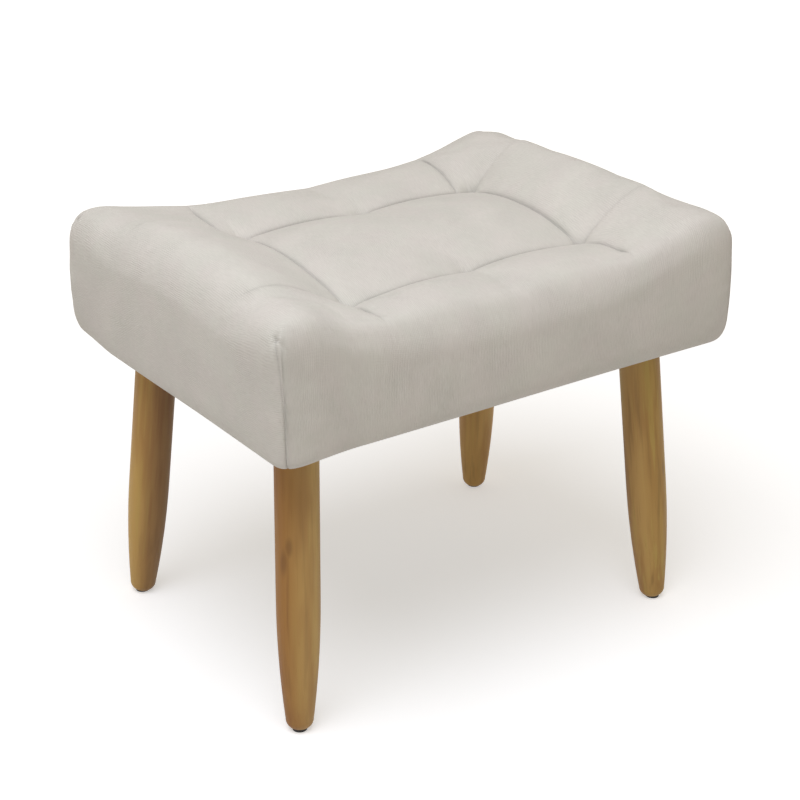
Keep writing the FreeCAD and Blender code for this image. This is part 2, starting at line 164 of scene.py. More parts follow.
def finished(material, colour, height, depth, roughness=None):
    # the material with its colour and its fine relief, which is this deep in metres
    tree = material.node_tree
    relief = feedNamed(tree, addNode(tree, "ShaderNodeBump"), Strength=1.0, Distance=depth, Height=height)
    feedNamed(tree, tree.nodes["Principled BSDF"], Base_Color=colour, Roughness=roughness,
              Normal=relief.outputs["Normal"])
    return material


def newGroup(name, **inputs):
    # every group takes a Place and some single values
    group = bpy.data.node_groups.new(name, "ShaderNodeTree")
    group.interface.new_socket(name="Place", in_out="INPUT", socket_type="NodeSocketVector")
    for label, value in inputs.items():
        socket = group.interface.new_socket(name=label, in_out="INPUT", socket_type="NodeSocketFloat")
        socket.default_value = value
    return group, group.nodes.new("NodeGroupInput").outputs


def finishGroup(group, **outputs):
    for label in outputs:
        group.interface.new_socket(name=label, in_out="OUTPUT", socket_type="NodeSocketFloat")
    feedNamed(group, group.nodes.new("NodeGroupOutput"), **outputs)
    return group


def useGroup(tree, group, place, **inputs):
    return feedNamed(tree, addNode(tree, "ShaderNodeGroup", node_tree=group), Place=place, **inputs).outputs


def emptyTree(owner):
    owner.use_nodes = True
    owner.node_tree.nodes.clear()
    return owner.node_tree


def objectPlace(tree):
    return tree.nodes.new("ShaderNodeTexCoord").outputs["Object"]


def seenDirectly(tree):
    # 1 for camera, mirror and see-through rays, 0 for the rays that light things
    rays = tree.nodes.new("ShaderNodeLightPath").outputs
    return sums(tree, "MAXIMUM", sums(tree, "MAXIMUM", rays["Is Camera Ray"], rays["Is Glossy Ray"]),
                rays["Is Transmission Ray"])


def addRoom():
    scene.world = bpy.data.worlds.new("room")
    tree = emptyTree(scene.world)
    lighting = addNode(tree, "ShaderNodeBackground", (*studio["roomColour"], 1), studio["roomLight"])
    backdrop = addNode(tree, "ShaderNodeBackground", (1, 1, 1, 1), 1.0)
    mixed = addNode(tree, "ShaderNodeMixShader", seenDirectly(tree), lighting.outputs[0], backdrop.outputs[0])
    addNode(tree, "ShaderNodeOutputWorld", mixed.outputs[0])


def addKeyLamp():
    data = bpy.data.lights.new("key_lamp", "AREA")
    data.shape = "DISK"
    data.size = studio["keySize"]
    data.energy = studio["keyPower"]
    data.color = studio["keyColour"]
    lamp = addObject("key_lamp", data)
    lamp.location = studio["keyPlace"]
    aim = Vector(cameraView["aim"]) - lamp.location
    lamp.rotation_euler = aim.to_track_quat("-Z", "Y").to_euler()


def addFloor():
    half = studio["floorSize"] / 2
    mesh = bpy.data.meshes.new("floor")
    corners = [(-half, -half, 0), (half, -half, 0), (half, half, 0), (-half, half, 0)]
    mesh.from_pydata(corners, [], [(0, 1, 2, 3)])
    floor = addObject("floor", mesh)
    material = bpy.data.materials.new("floor_paper")
    tree = emptyTree(material)
    paper = addNode(tree, "ShaderNodeBsdfDiffuse", (*studio["floorColour"], 1.0))
    away = vectorSums(tree, "LENGTH", objectPlace(tree))
    strength = stretch(tree, away, *studio["floorLiftSpan"], *studio["floorLift"])
    lift = addNode(tree, "ShaderNodeEmission", (1, 1, 1, 1), strength)
    lifted = addNode(tree, "ShaderNodeAddShader", paper.outputs[0], lift.outputs[0])
    mixed = addNode(tree, "ShaderNodeMixShader", seenDirectly(tree), paper.outputs[0], lifted.outputs[0])
    addNode(tree, "ShaderNodeOutputMaterial", mixed.outputs[0])
    mesh.materials.append(material)


addCamera()
addRoom()
addKeyLamp()
addFloor()
print("camera, lamps and floor are in place")


# The padded seat

seatLow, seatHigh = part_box("seat_cover")
halves = halfLength, halfDepth = seatHigh.x, seatHigh.y
underside = seatLow.z


def nodeCentre(name):
    low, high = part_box(name)
    return (low + high) / 2


ties = [nodeCentre(f"tuft_tie_{number}") for number in range(1, 7)]
tuftColumns = sorted({round(tie.x, 4) for tie in ties})
tuftRow = round(max(tie.y for tie in ties), 4)

# A span is a pair of places along X or Y: where a change sets in, and where it is complete.
seat = {
    # heights above the underside: at the tufts or crosswise seams, between them, and at the ends' crests
    "channel": (0.1, 0.106, 0.1424),
    "strip": (0.112, 0.1186, 0.1372),
    "middle": (0.116, 0.1215, 0.1488),
    "shoulder": (0.1122, 0.1345),
    "rightSeamLift": (0.0095, 0.0045),  # the strips dip less at the right crosswise seam: behind, in front
    # how the heights change along the seat
    "saddlePower": 2.15,
    "softRisePower": 1.2,
    "middleRiseMix": 0.5,
    "rightSpan": (0.05, 0.15),
    "quickRise": (0.5, 1.0),  # how soon the strips rise past the outer tufts, on the left and right
    "backRightCrest": (0.006, 1.2),  # the strip behind the right tufts crests further out and rises sooner
    "rightLift": 0.0052,  # the right end was stuffed a little higher, up to these margins:
    "rightLiftMargin": (0.012, 0.03),  # behind, in front
    # fuller places: how much, and the spans along X and Y
    "rightCornerLift": (0.0034, (0.17, 0.24), (0.05, 0.1)),
    "frontLeftLift": (0.006, (-0.18, -0.25), (-0.12, -0.19)),
    "frontLeftSwell": (-0.005, (-0.236, -0.2606), (-0.064, -0.214)),
    "leftStuffing": (-0.003, (-0.2, -0.277), (-0.1, 0.15)),
    "backRightTaper": (1.4, (0.16, 0.195)),  # takes the right corners' lift back behind
    "askew": 0.07,  # the crosswise seams lean this much to the right towards the back
    "askewSpan": (0.237, 0.165),
    "backSeamShift": -0.018,  # and meet the back tufts this far off
    "frontRowShift": -0.016,  # the front seam runs this far forward at its left end
    "frontRowSpan": (0.06, -0.14),
    "frontRowReach": 0.07,
    "frontRowMargin": 0.04,
    # places, from the seat's sides and ends
    "stripCrestMargin": 0.046,
    "endCrestMargin": 0.036,
    "endRoll": (0.041, 0.046),  # run and drop of the rolled ends
    "sideRoll": (0.026, 0.044),  # run and drop of the long sides' shoulders
    # fullness of the roundings: 1 is a slant, 2 is round, more is squarer
    "cornerFullness": (3.4, 6.2),  # on plan, at the front left corner and the others
    # across the end roll and the shoulder: in the middle, at the left and right corners, and the span between
    "rollFullness": (1.85, 2.7, 3.2, (0.0832, 0.1932)),
    "shoulderFullness": (1.9, 3.0, 2.8, (0.107, 0.207)),
    "fullnessToRight": (-0.1, 0.1),
    "fullnessToBack": (0.0, 0.1),
    "backLikeRight": 0.5,
    "leastFullness": 1.2,
    "middleFullness": 2.2,
    "stripFullness": 2.2,
    "tuftFullness": 2.0,
    "crownFullness": 5.0,
    # the sides and the underside
    "sideBulge": 0.001,
    # run and rise of the rounded bottom edge at each corner
    "bottomEdge": {"front_left": (0.009, 0.009), "front_right": (0.013, 0.024),
                   "back_left": (0.012, 0.032), "back_right": (0.013, 0.024)},
    "bottomToRight": (-0.2, 0.2),
    "bottomToBack": (0.12, 0.21),
    "leftSag": 0.004,  # the padding hangs a little lower under the left end
    "leftSagSpan": (-0.19, -0.27),
    "returnWidth": 0.024,
    "fold": (0.0004, 0.0015),  # the cover's hem underneath, inwards and up
    # corner seams, in the order front left, front right, back right, back left
    "dartLean": (-0.007, 0.004, -0.003, 0.005),  # each seam's top, along the edge from the corner
    "dartHeight": 0.1255,
    "leanPower": 2.4,
    "cornerReach": 0.07,
    # mesh
    "spacing": 0.0064,
    "besideSeam": (0.0008, 0.0022, 0.0045),
    "besideDart": (0.0042, 0.0061, 0.0076, 0.0092, 0.0112, 0.013, 0.0148),
    "rollSteps": 11,
    "sideSteps": 13,
    "bottomSteps": 4,
}


def smoothStep(t):
    t = np.clip(t, 0, 1)
    return t * t * (3 - 2 * t)


def ramp(value, start, end):
    # 0 before the start, 1 past the end, which may be the smaller of the two
    return smoothStep((value - start) / (end - start))


def mix(first, second, share):
    return first + (second - first) * share


def local(name, x, y):
    amount, spanX, spanY = seat[name]
    return amount * ramp(x, *spanX) * ramp(y, *spanY)


def rollRun(axis):
    return seat["endRoll" if axis == 0 else "sideRoll"][0]


def edgeShare(places, axis):
    # 0 on the flat, 1 at the rim of the turned edge
    run = rollRun(axis)
    return np.clip((np.abs(places) - (halves[axis] - run)) / run, 0, 1)


def gridLines(axis, seams):
    # places of the grid lines across the seat: closer beside the seams, in equal arcs round the edge
    half, run = halves[axis], rollRun(axis)
    flat = half - run
    gaps = [sign * gap for gap in (0, *seat["besideSeam"]) for sign in (-1, 1)]
    fixed = sorted({-flat, flat, *[seam + gap for seam in seams for gap in gaps]})
    lines = [flat]
    for start, end in zip(fixed, fixed[1:]):
        steps = max(1, round((end - start) / seat["spacing"]))
        lines += [start + (end - start) * step / steps for step in range(steps)]
    turns = [math.pi / 2 * step / seat["rollSteps"] for step in range(1, seat["rollSteps"] + 1)]
    arcs = [flat + run * math.sin(turn) for turn in turns] + [half - gap for gap in seat["besideDart"]]
    return np.array(sorted([-place for place in arcs] + lines + arcs))


def endShare(x, rightMargin):
    # 0 at the outer tuft columns and between them, 1 at the crest of the rolled end
    left = (tuftColumns[0] - x) / (tuftColumns[0] + halfLength - seat["endCrestMargin"])
    right = (x - tuftColumns[-1]) / (halfLength - rightMargin - tuftColumns[-1])
    return np.clip(np.maximum(left, right), 0, 1)


def fullBetween(x, start, end, fullness):
    t = np.clip((x - start) / (end - start), 0, 1)
    return 1 - np.abs(1 - 2 * t) ** fullness


def rises(x, behind=False):
    # how far the steep channels and soft strips have risen towards the ends, and the fullness between tufts
    margin, sooner = seat["backRightCrest"]
    share = endShare(x, np.where(behind, margin, seat["endCrestMargin"]))
    steep = np.sin(np.pi / 2 * share)
    onRight = ramp(x, *seat["rightSpan"])
    soft = smoothStep(share ** seat["softRisePower"])
    soft = mix(soft, (share + steep) / 2, mix(*seat["quickRise"], onRight))
    soft = np.where(behind & (x > 0), np.sin(np.pi / 2 * np.clip(sooner * share, 0, 1)), soft)
    between = np.max([fullBetween(x, start, end, seat["tuftFullness"])
                      for start, end in zip(tuftColumns, tuftColumns[1:])], axis=0)
    return steep, soft, between, onRight


def topHeight(x, y):
    # the padded top before its edges turn down: saddle, strips, channels and crowned middle
    def profile(name, swell, rise):
        low, between, end = seat[name]
        return mix(low, end, rise) + (between - low) * swell

    steepRise, softRise, betweenTufts, onRight = rises(x)
    betweenSeams = fullBetween(x, tuftColumns[0], tuftColumns[-1], seat["crownFullness"])
    saddle = np.clip(np.abs(x) / (halfLength - seat["endCrestMargin"]), 0, 1) ** seat["saddlePower"]
    channel = profile("channel", betweenTufts, steepRise)
    middle = profile("middle", betweenSeams, mix(softRise, steepRise, seat["middleRiseMix"]))
    shoulder = mix(*seat["shoulder"], saddle)

    # the strips, whose seams behind the back tufts lie a little aside
    behind = y > tuftRow
    _, softRise, betweenTufts, onRight = rises(x - np.where(behind, seat["backSeamShift"], 0.0), behind)
    strip = profile("strip", betweenTufts, softRise)
    seamLift = np.where(behind, *seat["rightSeamLift"])
    strip = strip + seamLift * onRight * (1 - softRise) * (1 - betweenTufts)

    side = np.abs(y)
    taper, taperSpan = seat["backRightTaper"]
    liftEnd = halfLength - np.where(behind, *seat["rightLiftMargin"])
    lift = seat["rightLift"] * ramp(x, tuftColumns[-1], liftEnd) + local("frontLeftLift", x, y)
    lift = lift + local("rightCornerLift", x, side) * (1 - taper * ramp(y, *taperSpan))
    crestY = halfDepth - seat["stripCrestMargin"]
    inMiddle = mix(middle, channel, np.clip(side / tuftRow, 0, 1) ** seat["middleFullness"])
    across = np.clip((side - tuftRow) / (crestY - tuftRow), 0, 1)
    inStrip = mix(strip, channel, (1 - across) ** seat["stripFullness"])
    onStrip = inStrip - (strip - shoulder) * ramp(side, crestY, halfDepth)
    return underside + lift + np.where(side <= tuftRow, inMiddle, onStrip)


def leanShare(z):
    # how far over a corner's seam leans at this height
    return np.clip((z - underside) / seat["dartHeight"], 0, 1) ** seat["leanPower"]


def turnedEdge(px, py):
    # plan place, height and outward way of a grid point, with the edges turned down and the corners rounded
    (runX, dropX), (runY, dropY) = seat["endRoll"], seat["sideRoll"]
    a, b = edgeShare(px, 0), edgeShare(py, 1)
    power = np.where((px < 0) & (py < 0), *seat["cornerFullness"])
    reach = (a ** power + b ** power) ** (1 / power)
    turned = np.maximum(a, b)
    shrink = np.where(reach > 0, turned / np.maximum(reach, 1e-9), 1.0)
    x = px + np.sign(px) * runX * (a * shrink - a)
    y = py + np.sign(py) * runY * (b * shrink - b)

    likeRight = np.maximum(ramp(px, *seat["fullnessToRight"]),
                           seat["backLikeRight"] * ramp(py, *seat["fullnessToBack"]))

    def fullness(name, place):
        along, atLeft, atRight, span = seat[name]
        return mix(along, mix(atLeft, atRight, likeRight), ramp(np.abs(place), *span))

    weight = np.maximum(a ** 2 + b ** 2, 1e-9)
    power = fullness("rollFullness", py) * a ** 2 + fullness("shoulderFullness", px) * b ** 2
    power = np.maximum(power / weight, seat["leastFullness"])
    drop = (dropX * a ** 2 + dropY * b ** 2) / weight
    z = topHeight(x, y) - drop * (1 - np.clip(1 - turned ** power, 0, 1) ** (1 / power))

    # the seams that lean and run forward, and the fuller left end
    lean = seat["askew"] * ramp(np.abs(px), *seat["askewSpan"])
    x = x + lean * py + local("leftStuffing", px, py) + local("frontLeftSwell", px, py) * leanShare(z)
    nearRow = np.clip(1 - ((py + tuftRow) / seat["frontRowReach"]) ** 2, 0, 1) ** 2
    nearRow = nearRow * ramp(np.abs(px), halfLength, halfLength - seat["frontRowMargin"])
    y = y + seat["frontRowShift"] * ramp(px, *seat["frontRowSpan"]) * nearRow
    outward = np.stack([np.sign(px) * a * shrink, np.sign(py) * b * shrink], axis=-1)
    return np.stack([x, y, z], axis=-1), outward


def flatCoordinate(places, axis):
    # distance along the fabric from the middle
    run = rollRun(axis)
    flat = np.minimum(np.abs(places), halves[axis] - run)
    return np.sign(places) * (flat + run * np.arcsin(edgeShare(places, axis)))


def gridFaces(numbers):
    corners = [numbers[:-1, :-1], numbers[1:, :-1], numbers[1:, 1:], numbers[:-1, 1:]]
    return np.stack(corners, axis=-1).reshape(-1, 4)


def sideRings(rimPoints):
    # down the sides, round the bottom edge and in under the rails: inwards and height all round the rim
    toRight = ramp(rimPoints[:, 0], *seat["bottomToRight"])[:, None]
    toBack = ramp(rimPoints[:, 1], *seat["bottomToBack"])[:, None]
    edges = {name: np.array(sizes) for name, sizes in seat["bottomEdge"].items()}
    inFront = mix(edges["front_left"], edges["front_right"], toRight)
    behind = mix(edges["back_left"], edges["back_right"], toRight)
    run, rise = mix(inFront, behind, toBack).T
    edge = underside - seat["leftSag"] * ramp(rimPoints[:, 0], *seat["leftSagSpan"])
    rings = []
    for step in range(1, seat["sideSteps"] + 1):
        share = step / seat["sideSteps"]
        bulge = seat["sideBulge"] * math.sin(math.pi * share)
        rings.append((-bulge, mix(rimPoints[:, 2], edge + rise, share)))
    for step in range(1, seat["bottomSteps"] + 1):
        angle = math.pi / 2 * step / seat["bottomSteps"]
        rings.append((run * (1 - math.cos(angle)), edge + rise * (1 - math.sin(angle))))
    width, (foldIn, foldUp) = seat["returnWidth"], seat["fold"]
    rings += [((run + width) / 2, (edge + underside) / 2), (width, underside),
              (width + foldIn, underside + foldUp)]
    return [np.broadcast_arrays(*ring, edge)[:2] for ring in rings]


def storeAttribute(mesh, name, values):
    attribute = mesh.attributes.new(name, "FLOAT", "POINT")
    attribute.data.foreach_set("value", values.astype(np.float32))


def addSmoothMesh(name, points, faces):
    mesh = bpy.data.meshes.new(name)
    mesh.from_pydata(points.tolist(), [], faces.tolist(), shade_flat=False)
    return mesh


def buildSeat():
    shifts = (0, seat["backSeamShift"])
    xs = gridLines(0, [tuftColumns[end] + shift for end in (0, -1) for shift in shifts])
    ys = gridLines(1, [-tuftRow, tuftRow])
    countX, countY = len(xs), len(ys)
    px, py = np.meshgrid(xs, ys, indexing="ij")
    points, outward = [values.reshape(countX * countY, -1) for values in turnedEdge(px, py)]
    px, py = px.reshape(-1), py.reshape(-1)
    flats = np.stack([flatCoordinate(px, 0), flatCoordinate(py, 1)], axis=-1)
    numbers = np.arange(countX * countY).reshape(countX, countY)
    faces = [gridFaces(numbers)]
    uvs = [flats[faces[0]]]

    # the grid's rim, anticlockwise from the front left corner, and the way down from it on the flat cloth
    rim = np.concatenate([numbers[:-1, 0], numbers[-1, :-1], numbers[:0:-1, -1], numbers[0, :0:-1]])
    away = np.repeat([(0, -1), (1, 0), (0, 1), (-1, 0)], [countX - 1, countY - 1] * 2, axis=0)
    rimPoints, rimFlats = points[rim], flats[rim]
    rimSwell = local("frontLeftSwell", px, py)[rim]
    rings = sideRings(rimPoints)

    def following(values):
        return np.roll(values, -1, axis=0)

    previous, previousPoints = rim, rimPoints
    depth = np.zeros(len(rim))
    allPoints, allDepths = [points], [np.zeros(len(points))]
    for inwards, height in rings:
        ring = np.column_stack([rimPoints[:, :2] - outward[rim] * inwards[:, None], height])
        ring[:, 0] += rimSwell * (leanShare(height) - leanShare(rimPoints[:, 2]))
        newDepth = depth + np.linalg.norm(ring - previousPoints, axis=1)
        numbers = np.arange(len(rim)) + sum(len(part) for part in allPoints)
        faces.append(np.stack([previous, numbers, following(numbers), following(previous)], axis=-1))
        corners = [(rimFlats, depth), (rimFlats, newDepth)]
        corners += [(following(flat), following(down)) for flat, down in reversed(corners)]
        uvs.append(np.stack([flat + away * down[:, None] for flat, down in corners], axis=1))
        allPoints.append(ring)
        allDepths.append(newDepth)
        previous, previousPoints, depth = numbers, ring, newDepth
    allPoints, depthDown = np.concatenate(allPoints), np.concatenate(allDepths)

    mesh = addSmoothMesh("padded_seat", allPoints, np.concatenate(faces))
    layer = mesh.uv_layers.new(name="fabric")
    layer.data.foreach_set("uv", np.concatenate(uvs).reshape(-1))

    # what the seams need at each point, taken from the grid point that it is or hangs from
    source = np.concatenate([np.arange(len(points))] + [rim] * len(rings))
    onEnds = np.abs(flats[:, :1]) > flats[:, 0].max() - 1e-6
    wayDown = np.where(onEnds, (1, 0), (0, 1)) * np.sign(flats)
    placeX, placeY = (flats[source] + wayDown[source] * depthDown[:, None]).T
    # how far past each corner's leaning seam a point lies, anticlockwise along the edge
    aside = ((halfLength - np.abs(px)) - (halfDepth - np.abs(py))) * np.where(px * py < 0, -1, 1)
    lean = np.array(seat["dartLean"])[np.where(py < 0, np.where(px < 0, 0, 1), np.where(px < 0, 3, 2))]
    turned = np.arcsin(np.minimum(edgeShare(px, 0), edgeShare(py, 1))) / (np.pi / 2)
    nearCorner = np.abs(aside) < seat["cornerReach"]
    storeAttribute(mesh, "placeX", placeX)
    storeAttribute(mesh, "placeY", placeY)
    storeAttribute(mesh, "depthDown", depthDown)
    storeAttribute(mesh, "cornerDistance", aside[source] - lean[source] * leanShare(allPoints[:, 2]))
    storeAttribute(mesh, "cornerShare", np.where(depthDown > 0, nearCorner[source], turned[source]))
    return addObject("seat_pad", mesh)


# The cover settles as cloth over its filling, and then the seams are pressed in

settling = {
    "frames": 20,
    "cloth": {
        "quality": 6, "mass": 0.25,
        "tension_stiffness": 12.0, "compression_stiffness": 12.0,
        "shear_stiffness": 6.0, "bending_stiffness": 0.4,
        "use_pressure": True, "uniform_pressure_force": 4.0,
        "vertex_group_mass": "held", "vertex_group_shrink": "slack",
        "shrink_max": -0.035,  # extra cloth round the tufts, which puckers
    },
    "slackReach": 0.034,
    "leastSlack": 0.03,
    "onSeam": 0.0003,  # a point this near is held by a seam, and by a corner's seam
    "onCornerSeam": 0.001,
    "pastCrest": 0.01,  # the seams hold this far past the crests
    "tackedHeight": 0.01,
    "topMove": 0.0035,  # how far a point of the top may move, and one of the sides or at the edge
    "sideMove": 0.0012,
    "edgeSpan": (0.01, 0.06),
}
seams = {
    "depth": 0.0024, "width": 0.0019,
    "tuftDepth": 0.003, "tuftWidth": 0.0085,
    "tuftEase": 0.5, "tuftEaseWidth": 0.02,  # the seams are this much shallower at a tuft
    # past the crests the seams fade out: where that starts, and the run of the crosswise and lengthwise ones
    "fadeStart": 0.004, "fadeRun": (0.034, 0.0204),
    # the lengthwise seams' depth beyond the outer tufts: at the left, and at the right in front and behind
    "outerDepth": (0.38, 0.24, 0.08), "outerRun": 0.03,
    "cornerDepth": 0.0014, "cornerWidth": 0.0014,
    "cornerSpan": (0.12, 0.32),  # of the turn, where a corner's seam sets in
    "cornerTop": (0.003, -0.003),  # its upper end fades out round the dimple
    "dimpleDepth": 0.0024, "dimpleWidth": 0.0048,
    # short creases out of each corner's dimple: (to the side, up) and depth
    "puckers": (((0.015, -0.01), 0.0009), ((-0.008, -0.012), 0.0006), ((0.004, 0.01), 0.0004)),
    "puckerWidth": 0.0022, "puckerEnds": (0.004, 0.006),
    # the filling's lumps: height, waves per metre, share of it on the sides, and where they start
    "lumps": 0.0007, "lumpScale": 16.0, "sideLumps": 0.8, "lumpsFrom": 0.003,
    # faint upright folds in the front face: depth, waves per metre, and their middle and spread
    "faceFolds": 0.0006, "foldScale": 300.0, "foldPlace": (-0.115, 0.07), "foldSpan": (0.02, 0.05),
    "faceMargin": 0.004,
    # painted shade: how dark a corner's seam is painted, and how dark and wide the painted shade in a tuft
    # and a dimple
    "dartShade": 0.42, "tuftShade": (0.5, 0.005), "dimpleShade": (0.4, 0.003),
}


def readValues(items, field, size=1):
    values = np.empty(len(items) * size, dtype=np.float32)
    items.foreach_get(field, values)
    return values.astype(float) if size == 1 else values.reshape(-1, size).astype(float)


def readPoints(mesh):
    return readValues(mesh.vertices, "co", 3)


def readAttribute(mesh, name):
    return readValues(mesh.attributes[name].data, "value")


def writePoints(mesh, places):
    mesh.vertices.foreach_set("co", np.asarray(places, dtype=np.float32).reshape(-1))
    mesh.update()


def bump(distance, width):
    return np.exp(-(distance / width) ** 2)


def seamEnds(past):
    # the seams' ends along X and Y, this far past the crests
    return halfLength - seat["endCrestMargin"] + past, halfDepth - seat["stripCrestMargin"] + past


def seamDistances(mesh):
    # how far each point lies from the crosswise and the lengthwise seams and the tufts, along the fabric
    placeX, placeY = readAttribute(mesh, "placeX"), readAttribute(mesh, "placeY")
    aside = placeX - np.where(placeY > tuftRow, seat["backSeamShift"], 0.0)
    fromCross = np.minimum(np.abs(aside - tuftColumns[0]), np.abs(aside - tuftColumns[-1]))
    fromLong = np.abs(np.abs(placeY) - tuftRow)
    fromTuft = np.min([np.hypot(placeX - tie.x, placeY - tie.y) for tie in ties], axis=0)
    return placeX, placeY, fromCross, fromLong, fromTuft


def settleCover(piece):
    mesh = piece.data
    before = readPoints(mesh)
    placeX, placeY, fromCross, fromLong, fromTuft = seamDistances(mesh)
    onTop = readAttribute(mesh, "depthDown") == 0
    endX, endY = seamEnds(settling["pastCrest"])
    sewn = onTop & (((fromCross < settling["onSeam"]) & (np.abs(placeY) < endY))
                    | ((fromLong < settling["onSeam"]) & (np.abs(placeX) < endX)))
    sewn |= (np.abs(readAttribute(mesh, "cornerDistance")) < settling["onCornerSeam"]) & ~onTop
    tacked = before[:, 2] < underside + settling["tackedHeight"]
    held = piece.vertex_groups.new(name="held")
    held.add(np.flatnonzero(sewn | tacked).tolist(), 1.0, "REPLACE")
    slack = piece.vertex_groups.new(name="slack")
    nearTuft = bump(fromTuft, settling["slackReach"]) * onTop
    for index in np.flatnonzero(nearTuft > settling["leastSlack"]):
        slack.add([int(index)], float(nearTuft[index]), "REPLACE")

    cloth = piece.modifiers.new("cloth", "CLOTH")
    for name, value in settling["cloth"].items():
        setattr(cloth.settings, name, value)
    cloth.settings.effector_weights.gravity = 0
    cloth.collision_settings.use_self_collision = False
    cloth.point_cache.frame_start = 1
    cloth.point_cache.frame_end = settling["frames"]
    for step in range(1, settling["frames"] + 1):
        scene.frame_set(step)
    settled = piece.evaluated_get(bpy.context.evaluated_depsgraph_get())
    moved = readPoints(settled.data) - before
    piece.modifiers.clear()
    piece.vertex_groups.clear()
    scene.frame_set(1)

    # no point moves far: the shape stays the one that was drawn, with the cloth's own swell and puckers
    fromEdge = np.minimum(halfLength - np.abs(before[:, 0]), halfDepth - np.abs(before[:, 1]))
    most = mix(settling["sideMove"], settling["topMove"], ramp(fromEdge, *settling["edgeSpan"]) * onTop)
    length = np.linalg.norm(moved, axis=1)
    share = most * np.tanh(length / most) / np.maximum(length, 1e-9)
    print("cover settled: no point moved more than", round(float((length * share).max()) * 1000, 1), "mm")
    writePoints(mesh, before + moved * share[:, None])


def subdivide(piece):
    modifier = piece.modifiers.new("smooth", "SUBSURF")
    modifier.levels = modifier.render_levels = 1
    graph = bpy.context.evaluated_depsgraph_get()
    finer = bpy.data.meshes.new_from_object(piece.evaluated_get(graph), preserve_all_data_layers=True,
                                            depsgraph=graph)
    piece.modifiers.clear()
    rough, piece.data = piece.data, finer
    finer.name = rough.name
    bpy.data.meshes.remove(rough)


def softNoise(places, scale, shift):
    # cheap smooth lumps: a few slanted waves laid over each other, each finer and weaker than the last
    total = np.zeros(len(places))
    directions = [(1.0, 0.3, 0.2), (-0.4, 1.0, 0.3), (0.7, -0.8, 0.5), (0.2, 0.5, 1.1), (1.3, 0.9, -0.4)]
    for number, direction in enumerate(directions):
        way = np.array(direction)
        phase = shift + number * 1.7
        bend = np.sin(places @ np.roll(way, 1) * scale * 0.7 + phase * 2.3)
        total += np.sin(places @ way * scale * (1 + 0.37 * number) + phase + 1.3 * bend) / (1 + 0.5 * number)
    return total / 2.6


def pressSeams(piece):
    mesh = piece.data
    places, normals = readPoints(mesh), readValues(mesh.vertex_normals, "vector", 3)
    height = places[:, 2] - underside
    placeX, placeY, fromCross, fromLong, fromTuft = seamDistances(mesh)
    depthDown, cornerDistance = readAttribute(mesh, "depthDown"), readAttribute(mesh, "cornerDistance")
    endX, endY = seamEnds(seams["fadeStart"])
    crossRun, longRun = seams["fadeRun"]
    crossFade = 1 - ramp(np.abs(placeY), endY, endY + crossRun)
    longFade = 1 - ramp(np.abs(placeX), endX, endX + longRun)
    past = np.maximum(tuftColumns[0] - placeX, placeX - tuftColumns[-1])
    atLeft, inFront, behind = seams["outerDepth"]
    outer = np.where(placeX < 0, atLeft, np.where(placeY < 0, inFront, behind))
    longWeight = mix(1, outer, ramp(past, 0, seams["outerRun"]))
    nearTuft = 1 - seams["tuftEase"] * bump(fromTuft, seams["tuftEaseWidth"])
    crossCut = np.exp(-fromCross / seams["width"]) * crossFade * nearTuft
    longCut = np.exp(-fromLong / seams["width"]) * longFade * longWeight * nearTuft
    cut = np.maximum(crossCut, longCut) * seams["depth"]
    cut += bump(fromTuft, seams["tuftWidth"]) * seams["tuftDepth"]

    # the dart down each corner, and the dimple and short creases where it starts
    above = height - seat["dartHeight"] - seat["rightLift"] * (places[:, 0] > 0)
    atCorner = ramp(readAttribute(mesh, "cornerShare"), *seams["cornerSpan"])
    dart = np.exp(-np.abs(cornerDistance) / seams["cornerWidth"]) * ramp(above, *seams["cornerTop"])
    dart *= atCorner
    cut += dart * seams["cornerDepth"]
    fromDimple = np.hypot(cornerDistance, above)
    cut += bump(fromDimple, seams["dimpleWidth"]) * seams["dimpleDepth"] * atCorner
    startRun, endRun = seams["puckerEnds"]
    for (sideways, upwards), deep in seams["puckers"]:
        reach = math.hypot(sideways, upwards)
        way = (cornerDistance * sideways + above * upwards) / reach
        off = np.abs(cornerDistance * upwards - above * sideways) / reach
        inside = ramp(way, 0, startRun) * ramp(way, reach, reach - endRun)
        cut += bump(off, seams["puckerWidth"]) * inside * deep * atCorner

    top = depthDown < seams["faceMargin"]
    swell = softNoise(places, seams["lumpScale"], 0.6) * seams["lumps"]
    swell *= np.where(top, 1.0, seams["sideLumps"]) * (height > seams["lumpsFrom"])
    frontFace = ~top & (height > seams["faceMargin"]) & (normals[:, 1] < -0.8)
    folds = softNoise(places * (1.0, 0, 0.12), seams["foldScale"], 2.1) * seams["faceFolds"]
    middle, spread = seams["foldPlace"]
    where = bump(places[:, 0] - middle, spread) * ramp(height, *seams["foldSpan"])
    swell += np.where(frontFace, folds * where, 0)
    writePoints(mesh, places + normals * (swell - cut)[:, None])

    # painted shade in the creases of the seams, the tufts, the corner's seam and its dimple, kept as the
    # seamShade attribute
    (tuftShade, tuftWidth), (dimpleShade, dimpleWidth) = seams["tuftShade"], seams["dimpleShade"]
    shade = np.maximum(crossCut * crossFade, longCut) + seams["dartShade"] * dart
    shade += tuftShade * bump(fromTuft, tuftWidth) + dimpleShade * bump(fromDimple, dimpleWidth) * atCorner
    storeAttribute(mesh, "seamShade", np.clip(shade, 0, 1))


def closeBottom(piece):
    form = bmesh.new()
    form.from_mesh(piece.data)
    openEdges = [edge for edge in form.edges if edge.is_boundary]
    bmesh.ops.holes_fill(form, edges=openEdges, sides=0)
    bmesh.ops.recalc_face_normals(form, faces=form.faces)
    form.to_mesh(piece.data)
    form.free()


seatPad = buildSeat()
settleCover(seatPad)
subdivide(seatPad)
pressSeams(seatPad)
closeBottom(seatPad)
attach(seatPad, "root")
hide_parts("seat_cover", "fibre_wrap", "seat_foam", "front_side_foam", "back_side_foam",
            "left_side_foam", "right_side_foam")
print("seat built:", len(seatPad.data.vertices), "points")


# The dust cover, a thin black cloth stapled under the frame

